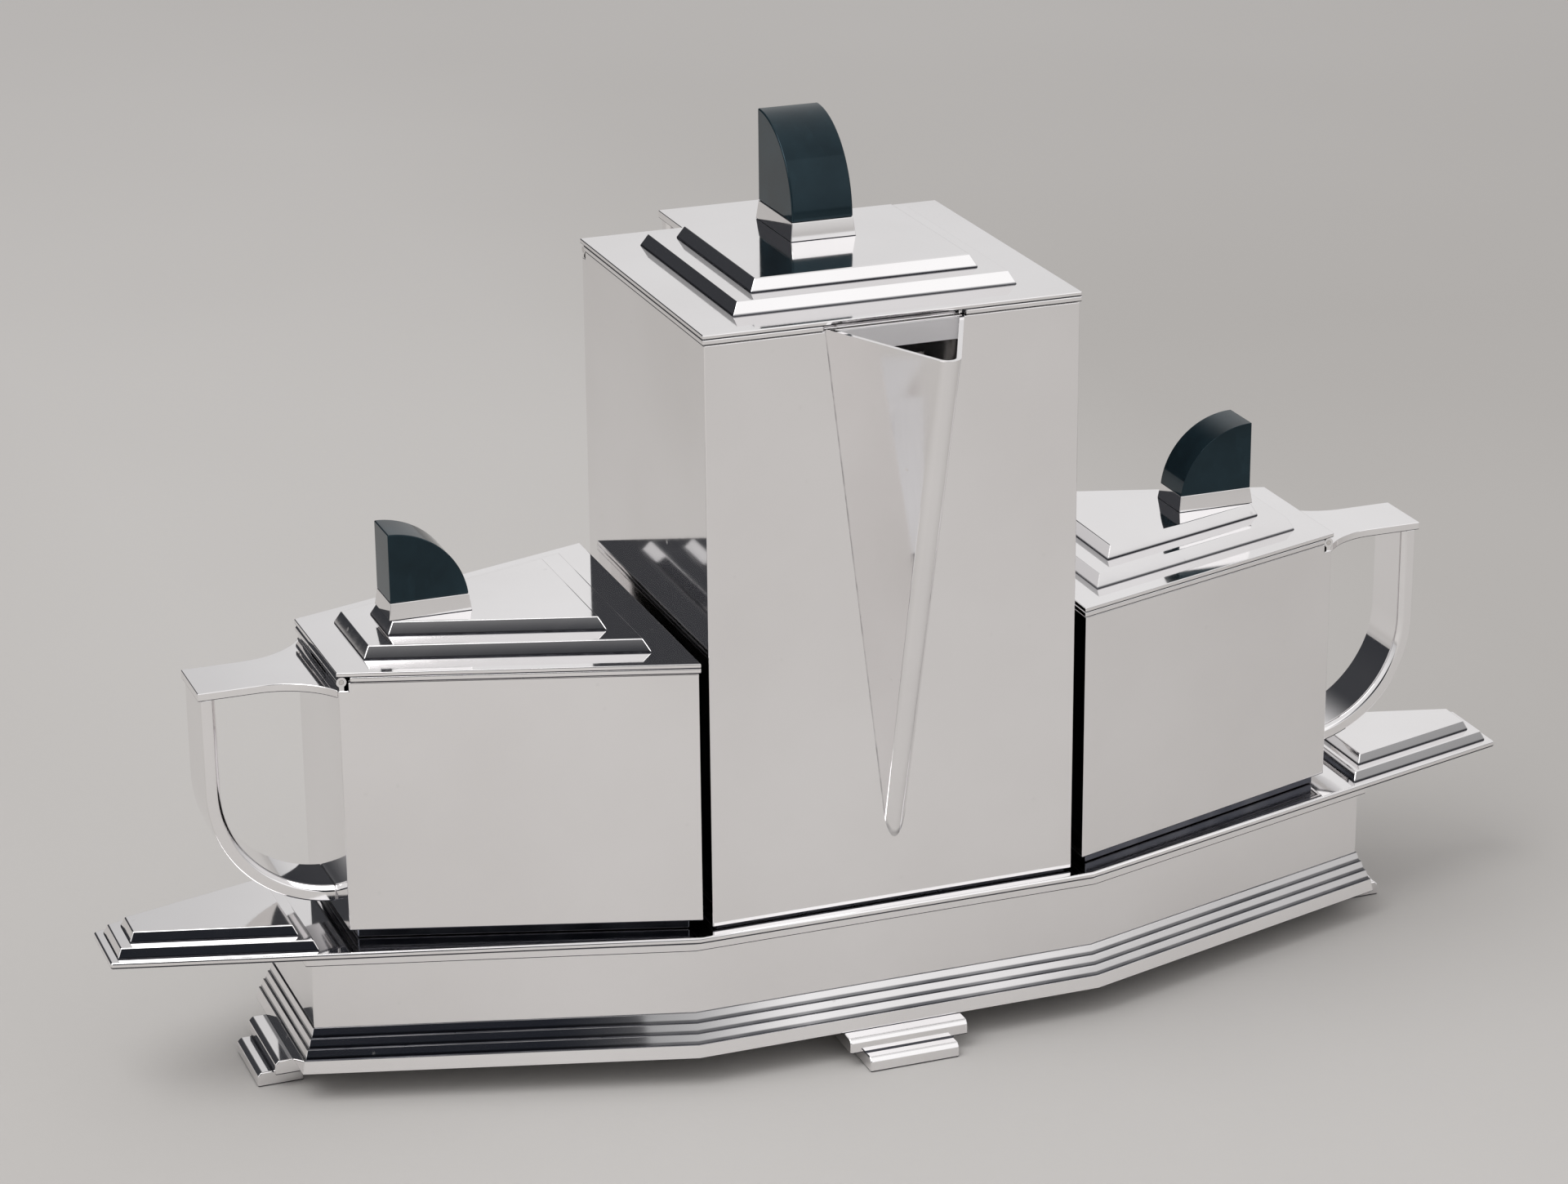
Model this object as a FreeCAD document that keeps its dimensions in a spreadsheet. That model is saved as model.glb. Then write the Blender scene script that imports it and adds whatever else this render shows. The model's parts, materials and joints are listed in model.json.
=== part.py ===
import FreeCAD, Part
import math
import os
import Sketcher
from FreeCAD import Placement, Rotation, Vector

# A silver tea set in the Art Deco manner: a square pot with a V-shaped spout,
# flanked by two tapering lidded vessels, on a fitted boat-shaped stand.
# The floor under the feet is Z = 0, X runs along the stand and the spout
# points to -Y. Each vessel is drawn once in a frame of its own, with its
# handle and hinge towards +X, and is turned about Z into its place.

doc = FreeCAD.newDocument("TeaSet")
dims = doc.addObject("Spreadsheet::Sheet", "dims")


class Size:
    """A length: its number, and the sheet formula that gives it."""

    def __init__(self, value, text=None):
        self.value = value
        self.text = text or repr(value)

    def joined(self, sign, other, value):
        return Size(value, f"({self.text} {sign} {as_size(other).text})")

    def __add__(self, other):
        return self.joined("+", other, self.value + as_size(other).value)

    def __sub__(self, other):
        return self.joined("-", other, self.value - as_size(other).value)

    def __mul__(self, other):
        return self.joined("*", other, self.value * as_size(other).value)

    def __truediv__(self, other):
        return self.joined("/", other, self.value / as_size(other).value)

    def __radd__(self, other):
        return as_size(other) + self

    def __rsub__(self, other):
        return as_size(other) - self

    def __rmul__(self, other):
        return as_size(other) * self

    def __neg__(self):
        return Size(-self.value, f"(0 - {self.text})")


def as_size(number):
    return number if isinstance(number, Size) else Size(number)


def root(size):
    return Size(size.value ** 0.5, f"sqrt({size.text})")


def size(alias, value):
    """Enter one driving dimension in the sheet, in millimetres."""
    row = len(dims.getUsedCells()) // 2 + 1
    dims.set(f"A{row}", alias)
    dims.set(f"B{row}", str(value))
    dims.setAlias(f"B{row}", alias)
    return Size(value, f"dims.{alias}")


# Sheet metal, lids and fits that the three vessels share.
seat_gap = size("seat_gap", 0.2)
body_wall = size("body_wall", 1.2)
floor_thickness = size("floor_thickness", 1.2)
lid_overhang = size("lid_overhang", 0.4)
lid_gap = size("lid_gap", 0.15)
lid_plate_thickness = size("lid_plate_thickness", 1.2)
frame_height = size("frame_height", 1.4)
flange_clearance = size("flange_clearance", 0.5)
flange_thickness = size("flange_thickness", 1.0)
flange_depth = size("flange_depth", 3.5)
tier_height = size("tier_height", 3.2)
tier_bevel = size("tier_bevel", 1.7)
barrel_radius = size("barrel_radius", 1.3)
barrel_clearance = size("barrel_clearance", 0.3)
barrel_end_inset = size("barrel_end_inset", 0.3)
notch_depth = size("notch_depth", 2.2)
knuckle_foot_half = size("knuckle_foot_half", 0.6)
pin_radius = size("pin_radius", 0.6)
running_clearance = size("running_clearance", 0.05)
screw_radius = size("screw_radius", 1.5)
screw_grip = size("screw_grip", 9.0)
nut_radius = size("nut_radius", 3.5)
nut_height = size("nut_height", 2.4)
mount_flare = size("mount_flare", 0.6)
handle_drop = size("handle_drop", 5.0)
plate_thickness = size("plate_thickness", 2.1)
plate_overhang = size("plate_overhang", 0.7)
strap_thickness = size("strap_thickness", 4.0)
strap_bevel = size("strap_bevel", 1.2)
flare_length = size("flare_length", 17.6)

# Pot: half depth along its spout and handle, half width across it.
pot_half_depth = size("pot_half_depth", 47.3)
pot_half_width = size("pot_half_width", 50.0)
pot_body_height = size("pot_body_height", 153.5)
pot_reveal = size("pot_reveal", 0.3)
pot_base_inset = size("pot_base_inset", 1.5)
pot_lower_inset = size("pot_lower_inset", 12.3)
pot_upper_inset = size("pot_upper_inset", 19.6)
pot_knob_radius = size("pot_knob_radius", 24.5)
pot_knob_height = size("pot_knob_height", 24.3)
pot_knob_width = size("pot_knob_width", 16.5)
pot_mount_height = size("pot_mount_height", 4.8)
pot_handle_reach = size("pot_handle_reach", 36.5)
pot_handle_half = size("pot_handle_half", 16.0)
pot_flare_half = size("pot_flare_half", 27.0)
pot_strap_radius = size("pot_strap_radius", 37.0)
pot_strap_drop = size("pot_strap_drop", 75.0)
spout_half_chord = size("spout_half_chord", 18.5)
spout_fold_reach = size("spout_fold_reach", 41.41)
spout_fold_height = size("spout_fold_height", 155.5)
spout_nose_radius = size("spout_nose_radius", 3.4)
spout_top_rise = size("spout_top_rise", 0.8)
spout_wall = size("spout_wall", 1.2)
throat_width = size("throat_width", 15.0)
throat_height = size("throat_height", 60.0)
throat_drop = size("throat_drop", 8.0)
strainer_lap = size("strainer_lap", 2.0)
strainer_thickness = size("strainer_thickness", 1.0)
strainer_hole_radius = size("strainer_hole_radius", 1.6)
strainer_pitch = size("strainer_pitch", 5.0)
strainer_row_pitch = size("strainer_row_pitch", 8.0)
strainer_rows = 7

# Side vessels: a plan that tapers from the pot to the handle.
vessel_gap = size("vessel_gap", 2.0)
vessel_length = size("vessel_length", 85.4)
vessel_inner_half = size("vessel_inner_half", 48.2)
vessel_outer_half = size("vessel_outer_half", 20.5)
vessel_body_height = size("vessel_body_height", 66.9)
vessel_reveal = size("vessel_reveal", 3.0)
vessel_base_inset = size("vessel_base_inset", 2.5)
vessel_foot_ring = size("vessel_foot_ring", 2.0)
vessel_lower_inset = size("vessel_lower_inset", 8.6)
vessel_upper_inset = size("vessel_upper_inset", 16.6)
vessel_knob_radius = size("vessel_knob_radius", 20.5)
vessel_knob_height = size("vessel_knob_height", 18.1)
vessel_knob_width = size("vessel_knob_width", 12.6)
vessel_mount_height = size("vessel_mount_height", 4.3)
vessel_handle_reach = size("vessel_handle_reach", 32.7)
vessel_handle_half = size("vessel_handle_half", 9.0)
vessel_flare_half = size("vessel_flare_half", 19.5)
vessel_strap_radius = size("vessel_strap_radius", 34.0)
vessel_strap_drop = size("vessel_strap_drop", 25.4)
vessel_inner = pot_half_width + vessel_gap
vessel_outer = vessel_inner + vessel_length

# Stand: feet, stepped moulding, plinth wall, cornice and deck, laid out round the vessels.
foot_step = size("foot_step", 4.0)
foot_upper_out = size("foot_upper_out", 4.7)
foot_lower_out = size("foot_lower_out", 8.7)
foot_depth = size("foot_depth", 12.0)
foot_bevel = size("foot_bevel", 1.0)
end_foot_upper_length = size("end_foot_upper_length", 28.0)
end_foot_lower_length = size("end_foot_lower_length", 22.0)
side_foot_upper_length = size("side_foot_upper_length", 32.6)
side_foot_lower_length = size("side_foot_lower_length", 24.6)
rib_height = size("rib_height", 3.5)
rib_out = size("rib_out", 4.3)
step_height = size("step_height", 2.5)
step_out = size("step_out", 1.1)
step_bevel = size("step_bevel", 0.7)
plinth_front = size("plinth_front", 48.1)
plinth_corner_lap = size("plinth_corner_lap", 5.0)
plinth_end_lap = size("plinth_end_lap", 10.2)
plinth_end_half = size("plinth_end_half", 20.8)
plinth_height = size("plinth_height", 30.9)
plinth_wall = size("plinth_wall", 1.2)
cornice_height = size("cornice_height", 2.2)
cornice_out = size("cornice_out", 1.7)
deck_thickness = size("deck_thickness", 1.8)
deck_front = size("deck_front", 50.8)
deck_corner_lap = size("deck_corner_lap", 4.3)
wing_length = size("wing_length", 58.6)
wing_end_half = size("wing_end_half", 10.2)
pad_gap = size("pad_gap", 5.9)
pad_lower_inset = size("pad_lower_inset", 2.1)
pad_upper_inset = size("pad_upper_inset", 6.0)
pad_tier_height = size("pad_tier_height", 2.6)
pad_tier_bevel = size("pad_tier_bevel", 1.2)
plinth_corner = pot_half_width + plinth_corner_lap
plinth_end = vessel_outer + plinth_end_lap
deck_corner = pot_half_width + deck_corner_lap
wing_end = vessel_outer + wing_length
pad_start = vessel_outer + pad_gap

doc.recompute()

# Levels above the floor.
plinth_bottom = foot_step * 2
deck_bottom = plinth_bottom + plinth_height
deck_top = deck_bottom + deck_thickness
seat = deck_top + seat_gap

subparts = []


def new_body(label, level=0, turn=0):
    """An empty body at a level, turned about Z, that becomes one sub-part."""
    body = doc.addObject("PartDesign::Body", label)
    body.Label = label
    body.AllowCompound = True
    body.Placement = Placement(Vector(0, 0, 0), Rotation(Vector(0, 0, 1), turn))
    body.setExpression("Placement.Base.z", as_size(level).text)
    subparts.append(body)
    return body


def origin_feature(body, role):
    return next(item for item in body.Origin.OriginFeatures if item.Role == role)


def new_sketch(body, name, role="XY_Plane", offset=0):
    sketch = body.newObject("Sketcher::SketchObject", f"{body.Name}_{name}")
    sketch.AttachmentSupport = [(origin_feature(body, role), "")]
    sketch.MapMode = "FlatFace"
    sketch.setExpression("AttachmentOffset.Base.z", as_size(offset).text)
    return sketch


def bind(sketch, kind, edge, end, length):
    """Hold one end of an edge at a distance from the sketch's origin."""
    if length.value == 0:
        axis = -2 if kind == "DistanceX" else -1
        sketch.addConstraint(Sketcher.Constraint("PointOnObject", edge, end, axis))
        return
    rule = Sketcher.Constraint(kind, -1, 1, edge, end, length.value)
    sketch.setExpression(f"Constraints[{sketch.addConstraint(rule)}]", length.text)


def draw(sketch, corners, arcs=None):
    """A closed outline through corners; arcs maps a side to (radius, bulge point)."""
    arcs = arcs or {}
    corners = [(as_size(x), as_size(y)) for x, y in corners]
    points = [Vector(x.value, y.value, 0) for x, y in corners]
    first = sketch.GeometryCount
    count = len(points)
    for side in range(count):
        start, end = points[side], points[(side + 1) % count]
        if side in arcs:
            x, y = arcs[side][1]
            bulge = Vector(as_size(x).value, as_size(y).value, 0)
            clockwise = (bulge - start).cross(end - start).z < 0
            ends = (end, bulge, start) if clockwise else (start, bulge, end)
            sketch.addGeometry(Part.ArcOfCircle(*ends), False)
        else:
            sketch.addGeometry(Part.LineSegment(start, end), False)

    def end_at(side, corner):
        edge = sketch.Geometry[first + side]
        near = edge.StartPoint.distanceToPoint(points[corner])
        far = edge.EndPoint.distanceToPoint(points[corner])
        return 1 if near < far else 2

    for corner in range(count):
        before = (corner - 1) % count
        joint = (first + before, end_at(before, corner), first + corner, end_at(corner, corner))
        sketch.addConstraint(Sketcher.Constraint("Coincident", *joint))
    for corner, (x, y) in enumerate(corners):
        bind(sketch, "DistanceX", first + corner, end_at(corner, corner), x)
        bind(sketch, "DistanceY", first + corner, end_at(corner, corner), y)
    for side, (radius, bulge) in arcs.items():
        rule = Sketcher.Constraint("Radius", first + side, radius.value)
        sketch.setExpression(f"Constraints[{sketch.addConstraint(rule)}]", radius.text)


def draw_circle(sketch, x, y, radius):
    x, y, radius = as_size(x), as_size(y), as_size(radius)
    centre = Vector(x.value, y.value, 0)
    edge = sketch.addGeometry(Part.Circle(centre, Vector(0, 0, 1), radius.value), False)
    bind(sketch, "DistanceX", edge, 3, x)
    bind(sketch, "DistanceY", edge, 3, y)
    rule = Sketcher.Constraint("Radius", edge, radius.value)
    sketch.setExpression(f"Constraints[{sketch.addConstraint(rule)}]", radius.text)


def pad(body, sketch, height, bevel=None, symmetric=False, down=False):
    """Raise a sketch; bevel leans the sides inwards by that much at the top."""
    feature = body.newObject("PartDesign::Pad", f"{sketch.Name}_pad")
    feature.Profile = sketch
    feature.setExpression("Length", height.text)
    feature.SideType = "Symmetric" if symmetric else "One side"
    feature.Reversed = down
    if bevel is not None:
        feature.setExpression("TaperAngle", f"-atan({bevel.text} / {height.text})")
    return feature


def cut_through(body, sketch):
    """Cut a sketch through the whole body, both ways, and check that it cut."""
    doc.recompute()
    before = body.Shape.Volume
    feature = body.newObject("PartDesign::Pocket", f"{sketch.Name}_cut")
    feature.Profile = sketch
    feature.Type = "ThroughAll"
    feature.SideType = "Symmetric"
    doc.recompute()
    if not body.Shape.Volume < before:
        raise ValueError(f"{feature.Name} removes nothing")
    return feature


def cut_up(body, sketch, height):
    """Cut a sketch upwards from its plane, and check that it cut."""
    doc.recompute()
    before = body.Shape.Volume
    feature = body.newObject("PartDesign::Pocket", f"{sketch.Name}_cut")
    feature.Profile = sketch
    feature.setExpression("Length", height.text)
    feature.Reversed = True
    doc.recompute()
    if not body.Shape.Volume < before:
        raise ValueError(f"{feature.Name} removes nothing")
    return feature


def rectangle(x0, x1, half):
    return [(x0, -half), (x1, -half), (x1, half), (x0, half)]


class Plan:
    """A four-sided plan, symmetric about X, that may taper along X."""

    def __init__(self, inner, inner_half, outer, outer_half):
        self.inner = inner
        self.outer = outer
        self.inner_half = inner_half
        self.slope = (inner_half - outer_half) / (outer - inner)
        self.secant = root(1 + self.slope * self.slope)

    def half_at(self, x, inset):
        return self.inner_half - self.slope * (x - self.inner) - inset * self.secant

    def corners(self, inset=0):
        """The outline drawn in by inset on all four sides, with mitred corners."""
        near = self.inner + inset
        far = self.outer - inset
        half_near = self.half_at(near, inset)
        half_far = self.half_at(far, inset)
        return [(near, -half_near), (far, -half_far), (far, half_far), (near, half_near)]


def plinth_outline(out):
    """The long octagon of the plinth wall, drawn outwards with mitred corners."""
    slope = (plinth_front - plinth_end_half) / (plinth_end - plinth_corner)
    secant = root(1 + slope * slope)
    corner_x = plinth_corner + out * ((secant - 1) / slope)
    front_y = plinth_front + out
    end_x = plinth_end + out
    end_y = plinth_end_half + out * (secant - slope)
    return octagon(corner_x, front_y, end_x, end_y)


def octagon(corner_x, front_y, end_x, end_y):
    front = [(-end_x, -end_y), (-corner_x, -front_y), (corner_x, -front_y), (end_x, -end_y)]
    back = [(end_x, end_y), (corner_x, front_y), (-corner_x, front_y), (-end_x, end_y)]
    return front + back


# Plinth wall: a folded strip of sheet, open underneath.
wall = new_body("stand_wall", plinth_bottom)
wall_sketch = new_sketch(wall, "ring")
draw(wall_sketch, plinth_outline(as_size(0)))
draw(wall_sketch, plinth_outline(-plinth_wall))
pad(wall, wall_sketch, plinth_height)

# Base moulding: a broad rib with three bevelled steps above it, round the foot of the wall.
moulding = new_body("base_moulding", plinth_bottom)
rib_sketch = new_sketch(moulding, "rib")
draw(rib_sketch, plinth_outline(rib_out))
pad(moulding, rib_sketch, rib_height, step_bevel)
for step in range(3):
    step_sketch = new_sketch(moulding, f"step{step}", offset=rib_height + step_height * step)
    draw(step_sketch, plinth_outline(rib_out - step_out * (step + 1)))
    pad(moulding, step_sketch, step_height, step_bevel)
moulding_bore = new_sketch(moulding, "bore")
draw(moulding_bore, plinth_outline(as_size(0)))
cut_through(moulding, moulding_bore)

# Cornice: a narrow strip under the deck, round the head of the wall.
cornice = new_body("stand_cornice", deck_bottom - cornice_height)
cornice_sketch = new_sketch(cornice, "ring")
draw(cornice_sketch, plinth_outline(cornice_out))
draw(cornice_sketch, plinth_outline(as_size(0)))
pad(cornice, cornice_sketch, cornice_height)

# Deck: one flat plate whose ends run out past the plinth as pointed wings.
deck = new_body("stand_deck", deck_bottom)
deck_sketch = new_sketch(deck, "plate")
draw(deck_sketch, octagon(deck_corner, deck_front, wing_end, wing_end_half))
pad(deck, deck_sketch, deck_thickness)

# Wing pads: two bevelled tiers on each wing.
deck_slope = (deck_front - wing_end_half) / (wing_end - deck_corner)
pad_start_half = deck_front - deck_slope * (pad_start - deck_corner)
wing_plan = Plan(pad_start, pad_start_half, wing_end, wing_end_half)
for side, turn in (("left", 180), ("right", 0)):
    lower = new_body(f"{side}_pad_lower", deck_top, turn)
    lower_sketch = new_sketch(lower, "tier")
    draw(lower_sketch, wing_plan.corners(pad_lower_inset))
    pad(lower, lower_sketch, pad_tier_height, pad_tier_bevel)
    upper = new_body(f"{side}_pad_upper", deck_top + pad_tier_height, turn)
    upper_sketch = new_sketch(upper, "tier")
    draw(upper_sketch, wing_plan.corners(pad_upper_inset))
    pad(upper, upper_sketch, pad_tier_height, pad_tier_bevel)


def foot(label, edge, upper_length, lower_length, turn):
    """Two bars that step outwards and down from under the moulding."""
    body = new_body(label, 0, turn)
    bars = (("lower", 0, foot_lower_out, lower_length), ("upper", foot_step, foot_upper_out, upper_length))
    for name, level, out, length in bars:
        sketch = new_sketch(body, name, "XZ_Plane")
        outer = edge + out
        inner = outer - foot_depth
        top = level + foot_step
        shoulder = [(outer, top - foot_bevel), (outer - foot_bevel, top)]
        draw(sketch, [(inner, level), (outer, level)] + shoulder + [(inner, top)])
        pad(body, sketch, length, symmetric=True)


rib_end = plinth_end + rib_out
rib_front = plinth_front + rib_out
foot("left_foot", rib_end, end_foot_upper_length, end_foot_lower_length, 180)
foot("right_foot", rib_end, end_foot_upper_length, end_foot_lower_length, 0)
foot("front_foot", rib_front, side_foot_upper_length, side_foot_lower_length, -90)
foot("back_foot", rib_front, side_foot_upper_length, side_foot_lower_length, 90)


class Vessel:
    """The sizes and levels of one vessel, in its own frame."""

    def __init__(self, name, turn, plan, reveal, base_inset, body_height):
        self.name = name
        self.turn = turn
        self.plan = plan
        self.base_inset = base_inset
        self.reveal = reveal
        self.body_height = body_height
        self.body_bottom = seat + reveal
        self.body_top = self.body_bottom + body_height
        self.frame_bottom = self.body_top + lid_gap
        self.plate_bottom = self.frame_bottom + frame_height
        self.plate_top = self.plate_bottom + lid_plate_thickness
        self.axis_x = plan.outer - barrel_radius
        self.axis_z = self.plate_bottom - barrel_radius - barrel_clearance
        self.wall_x = plan.outer - lid_overhang

    def body(self, label, level=0):
        return new_body(f"{self.name}_{label}", level, self.turn)


def vessel_body(vessel):
    """Four walls of sheet; the hinge side is cut down to carry the hinge barrel."""
    body = vessel.body("body", vessel.body_bottom)
    walls = new_sketch(body, "walls")
    draw(walls, vessel.plan.corners(lid_overhang))
    draw(walls, vessel.plan.corners(lid_overhang + body_wall))
    pad(body, walls, vessel.body_height)
    notch = new_sketch(body, "notch", offset=vessel.axis_z - notch_depth - vessel.body_bottom)
    notch_inner = vessel.axis_x - barrel_radius - barrel_clearance
    draw(notch, rectangle(notch_inner, vessel.plan.outer, vessel.plan.inner_half))
    cut_up(body, notch, notch_depth + barrel_radius)
    return body


def vessel_base(vessel):
    """A floor let in between the walls, on a foot set back from them."""
    base = vessel.body("base", seat)
    foot_sketch = new_sketch(base, "foot")
    draw(foot_sketch, vessel.plan.corners(lid_overhang + vessel.base_inset))
    pad(base, foot_sketch, vessel.reveal)
    floor_sketch = new_sketch(base, "floor", offset=vessel.reveal)
    draw(floor_sketch, vessel.plan.corners(lid_overhang + body_wall))
    pad(base, floor_sketch, floor_thickness)
    return base


def handle(vessel, reach, half, flare_half, radius, drop):
    """A flat top plate that flares to the wall, on a strap bent back into the wall."""
    top = vessel.plate_top - handle_drop
    plate = vessel.body("handle_plate", top - plate_thickness)
    plate_sketch = new_sketch(plate, "outline")
    end = vessel.wall_x + reach
    waist = vessel.wall_x + flare_length
    spread = flare_half - half
    flare_radius = (flare_length * flare_length + spread * spread) / (2 * spread)
    quarter = vessel.wall_x + flare_length / 2
    sag = flare_radius - root(flare_radius * flare_radius - flare_length * flare_length / 4)
    outline = [
        (vessel.wall_x, -flare_half),
        (waist, -half),
        (end, -half),
        (end, half),
        (waist, half),
        (vessel.wall_x, flare_half),
    ]
    flares = {
        0: (flare_radius, (quarter, -half - sag)),
        4: (flare_radius, (quarter, half + sag)),
    }
    draw(plate_sketch, outline, flares)
    pad(plate, plate_sketch, plate_thickness)

    strap = vessel.body("handle_strap", top - plate_thickness)
    outer = end - plate_overhang
    inner = outer - strap_thickness
    centre = outer - radius
    inner_radius = radius - strap_thickness
    run_in = vessel.wall_x - centre
    outer_end = -drop - root(radius * radius - run_in * run_in)
    inner_end = -drop - root(inner_radius * inner_radius - run_in * run_in)
    side = [
        (inner, 0),
        (outer, 0),
        (outer, -drop),
        (vessel.wall_x, outer_end),
        (vessel.wall_x, inner_end),
        (inner, -drop),
    ]
    bends = {
        2: (radius, (centre + radius * 0.7071, -drop - radius * 0.7071)),
        4: (inner_radius, (centre + inner_radius * 0.7071, -drop - inner_radius * 0.7071)),
    }
    side_sketch = new_sketch(strap, "side", "XZ_Plane")
    draw(side_sketch, side, bends)
    width = 2 * (half - plate_overhang)
    strap_pad = pad(strap, side_sketch, width, symmetric=True)
    doc.recompute()
    inner_edges = []
    for number, edge in enumerate(strap_pad.Shape.Edges, 1):
        middle = edge.valueAt((edge.FirstParameter + edge.LastParameter) / 2)
        on_side = abs(abs(middle.y) - width.value / 2) < 0.001
        arc_gap = Vector(middle.x - centre.value, 0, middle.z + drop.value).Length
        on_arc = abs(arc_gap - inner_radius.value) < 0.001 and middle.z < -drop.value
        on_run = abs(middle.x - inner.value) < 0.001
        if on_side and (on_arc or on_run):
            inner_edges.append(f"Edge{number}")
    bevel = strap.newObject("PartDesign::Chamfer", f"{strap.Name}_bevel")
    bevel.Base = (strap_pad, inner_edges)
    bevel.setExpression("Size", strap_bevel.text)


def knuckles(vessel, label, first, count, foot_end):
    """Barrel knuckles on every second third of the hinge, each with a foot to its plate."""
    body = vessel.body(label, vessel.axis_z)
    length = 2 * (vessel.plan.half_at(vessel.plan.outer, 0) - barrel_end_inset)
    pitch = length / 3
    sketch = new_sketch(body, "section", "XZ_Plane", -(pitch * first))
    reach = root(barrel_radius * barrel_radius - knuckle_foot_half * knuckle_foot_half)
    away = 1 if foot_end.value > 0 else -1
    left = vessel.axis_x - knuckle_foot_half
    right = vessel.axis_x + knuckle_foot_half
    section = [(left, foot_end), (right, foot_end), (right, away * reach), (left, away * reach)]
    draw(sketch, section, {2: (barrel_radius, (vessel.axis_x, -away * barrel_radius))})
    draw_circle(sketch, vessel.axis_x, 0, pin_radius + running_clearance)
    knuckle = pad(body, sketch, pitch - barrel_clearance, symmetric=True)
    if count > 1:
        doc.recompute()
        row = body.newObject("PartDesign::LinearPattern", f"{body.Name}_row")
        row.Originals = [knuckle]
        row.Direction = (origin_feature(body, "Y_Axis"), [""])
        row.setExpression("Length", (pitch * 2 * (count - 1)).text)
        row.Occurrences = count
        body.Tip = row
    return length


def hinge(vessel):
    """Two knuckles on the body, one on the lid and one pin through them all."""
    length = knuckles(vessel, "hinge_knuckles", -1, 2, -notch_depth)
    knuckles(vessel, "lid_knuckles", 0, 1, barrel_radius + barrel_clearance)
    pin = vessel.body("hinge_pin", vessel.axis_z)
    sketch = new_sketch(pin, "section", "XZ_Plane")
    draw_circle(sketch, vessel.axis_x, 0, pin_radius)
    pad(pin, sketch, length - barrel_clearance, symmetric=True)


def lid(vessel, lower_inset, upper_inset, knob_radius, knob_height, knob_width, mount_height):
    """A plate on a frame, two bevelled tiers, and a quarter-round knob in a mount."""
    tier_top = vessel.plate_top + tier_height * 2
    knob_length = root(knob_radius * knob_radius - (knob_radius - knob_height) * (knob_radius - knob_height))
    knob_back = vessel.plan.outer - upper_inset - tier_bevel
    knob_front = knob_back - knob_length
    screw_x = knob_back - knob_length / 2
    hole = screw_radius + running_clearance

    plate = vessel.body("lid_plate", vessel.plate_bottom)
    sketch = new_sketch(plate, "plate")
    draw(sketch, vessel.plan.corners())
    pad(plate, sketch, lid_plate_thickness)
    drill(plate, screw_x, hole)

    lower = vessel.body("lid_lower_tier", vessel.plate_top)
    sketch = new_sketch(lower, "tier")
    draw(sketch, vessel.plan.corners(lower_inset))
    pad(lower, sketch, tier_height, tier_bevel)
    drill(lower, screw_x, hole)

    upper = vessel.body("lid_upper_tier", vessel.plate_top + tier_height)
    sketch = new_sketch(upper, "tier")
    draw(sketch, vessel.plan.corners(upper_inset))
    pad(upper, sketch, tier_height, tier_bevel)
    drill(upper, screw_x, hole)

    mount = vessel.body("knob_mount", tier_top)
    sketch = new_sketch(mount, "block")
    draw(sketch, rectangle(knob_front - mount_flare, knob_back + mount_flare, knob_width / 2 + mount_flare))
    pad(mount, sketch, mount_height, mount_flare)
    drill(mount, screw_x, hole)

    knob = vessel.body("knob", tier_top + mount_height)
    sketch = new_sketch(knob, "profile", "XZ_Plane")
    arc_centre = knob_height - knob_radius
    crown = (knob_back - knob_radius * 0.7071, arc_centre + knob_radius * 0.7071)
    draw(sketch, [(knob_back, 0), (knob_back, knob_height), (knob_front, 0)], {1: (knob_radius, crown)})
    pad(knob, sketch, knob_width, symmetric=True)
    socket = new_sketch(knob, "socket")
    draw_circle(socket, screw_x, 0, hole)
    cut_up(knob, socket, screw_grip)

    screw = vessel.body("knob_screw", vessel.plate_bottom - nut_height)
    sketch = new_sketch(screw, "nut")
    flat = nut_radius * 0.8660254
    near = screw_x - nut_radius / 2
    far = screw_x + nut_radius / 2
    tips = [(screw_x + nut_radius, 0), (screw_x - nut_radius, 0)]
    draw(sketch, [(near, -flat), (far, -flat), tips[0], (far, flat), (near, flat), tips[1]])
    pad(screw, sketch, nut_height)
    sketch = new_sketch(screw, "shank", offset=nut_height)
    draw_circle(sketch, screw_x, 0, screw_radius)
    pad(screw, sketch, lid_plate_thickness + tier_height * 2 + mount_height + screw_grip - running_clearance)

    frame = vessel.body("lid_frame", vessel.frame_bottom)
    flange_outer = lid_overhang + body_wall + flange_clearance
    sketch = new_sketch(frame, "strip")
    draw(sketch, vessel.plan.corners())
    draw(sketch, vessel.plan.corners(flange_outer + flange_thickness))
    pad(frame, sketch, frame_height)
    sketch = new_sketch(frame, "flange")
    draw(sketch, vessel.plan.corners(flange_outer))
    draw(sketch, vessel.plan.corners(flange_outer + flange_thickness))
    pad(frame, sketch, flange_depth, down=True)
    sketch = new_sketch(frame, "hinge_side")
    open_from = vessel.axis_x - barrel_radius - 2 * barrel_clearance
    draw(sketch, rectangle(open_from, vessel.plan.outer + lid_overhang, vessel.plan.inner_half))
    cut_through(frame, sketch)
    return frame


def drill(body, x, radius):
    sketch = new_sketch(body, "hole")
    draw_circle(sketch, x, 0, radius)
    cut_through(body, sketch)


# The pot stands across the stand, so its own +X is the set's +Y.
pot_plan = Plan(-pot_half_depth, pot_half_width, pot_half_depth, pot_half_width)
pot = Vessel("pot", 90, pot_plan, pot_reveal, pot_base_inset, pot_body_height)
pot_shell = vessel_body(pot)
vessel_base(pot)
handle(pot, pot_handle_reach, pot_handle_half, pot_flare_half, pot_strap_radius, pot_strap_drop)
hinge(pot)
pot_frame = lid(
    pot, pot_lower_inset, pot_upper_inset, pot_knob_radius, pot_knob_height, pot_knob_width, pot_mount_height
)

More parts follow.
